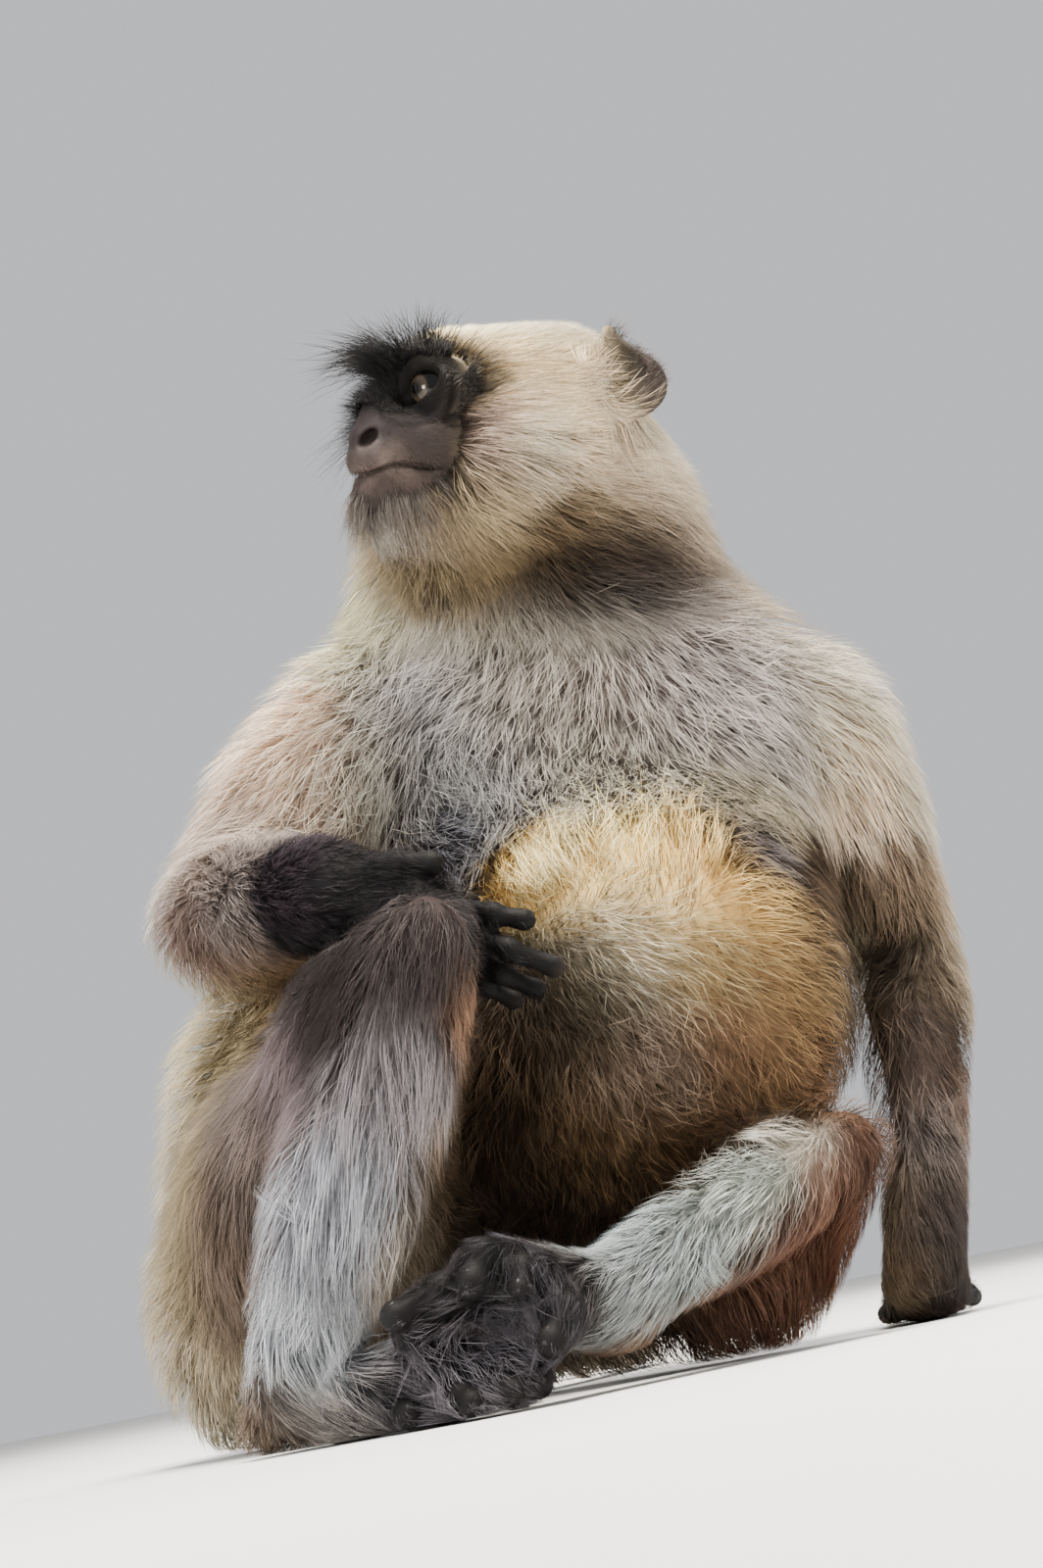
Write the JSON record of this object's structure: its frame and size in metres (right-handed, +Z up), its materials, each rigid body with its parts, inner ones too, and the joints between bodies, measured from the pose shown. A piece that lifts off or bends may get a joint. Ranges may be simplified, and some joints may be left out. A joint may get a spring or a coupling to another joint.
{
  "type": "grey langur monkey",
  "caption": "Life-size still model of an adult grey langur sitting on the floor, leaning on one straight arm, one knee raised and the feet crossed.",
  "frame": {"origin": "middle of the seat, on the floor under the rump", "axes": "+Z up, -Y the way the chest faces, +X towards the animal's own left"},
  "size_m": [0.4027, 0.6061, 0.4773],
  "materials": {
    "coat_cream": "long straight cream fur over the head, neck and upper arms",
    "coat_grey": "long grey-cream fur over the chest and back",
    "coat_dusk": "taupe fur over the forearms, thighs and tail",
    "coat_gold": "woolly golden fur over the belly",
    "coat_silver": "silvery fur over the shanks",
    "bare_skin": "black wrinkled skin of the face, ears, hands and feet",
    "eye": "wet amber-brown eye"
  },
  "bodies": {
    "root": {"eye_left": "eye", "eye_right": "eye", "head": "coat_cream", "ear_left": "bare_skin", "ear_right": "bare_skin", "hand_right": "bare_skin", "hand_left": "bare_skin", "foot_left": "bare_skin", "foot_right": "bare_skin", "neck": "coat_cream", "chest": "coat_grey", "belly": "coat_gold", "rump": "coat_grey", "upper_arm_right": "coat_cream", "upper_arm_left": "coat_cream", "forearm_right": "coat_dusk", "forearm_left": "coat_dusk", "thigh_right": "coat_dusk", "shank_right": "coat_silver", "thigh_left": "coat_dusk", "shank_left": "coat_silver", "tail_1": "coat_dusk", "tail_2": "coat_dusk", "tail_3": "coat_dusk", "tail_4": "coat_dusk"}
  },
  "joints": []
}
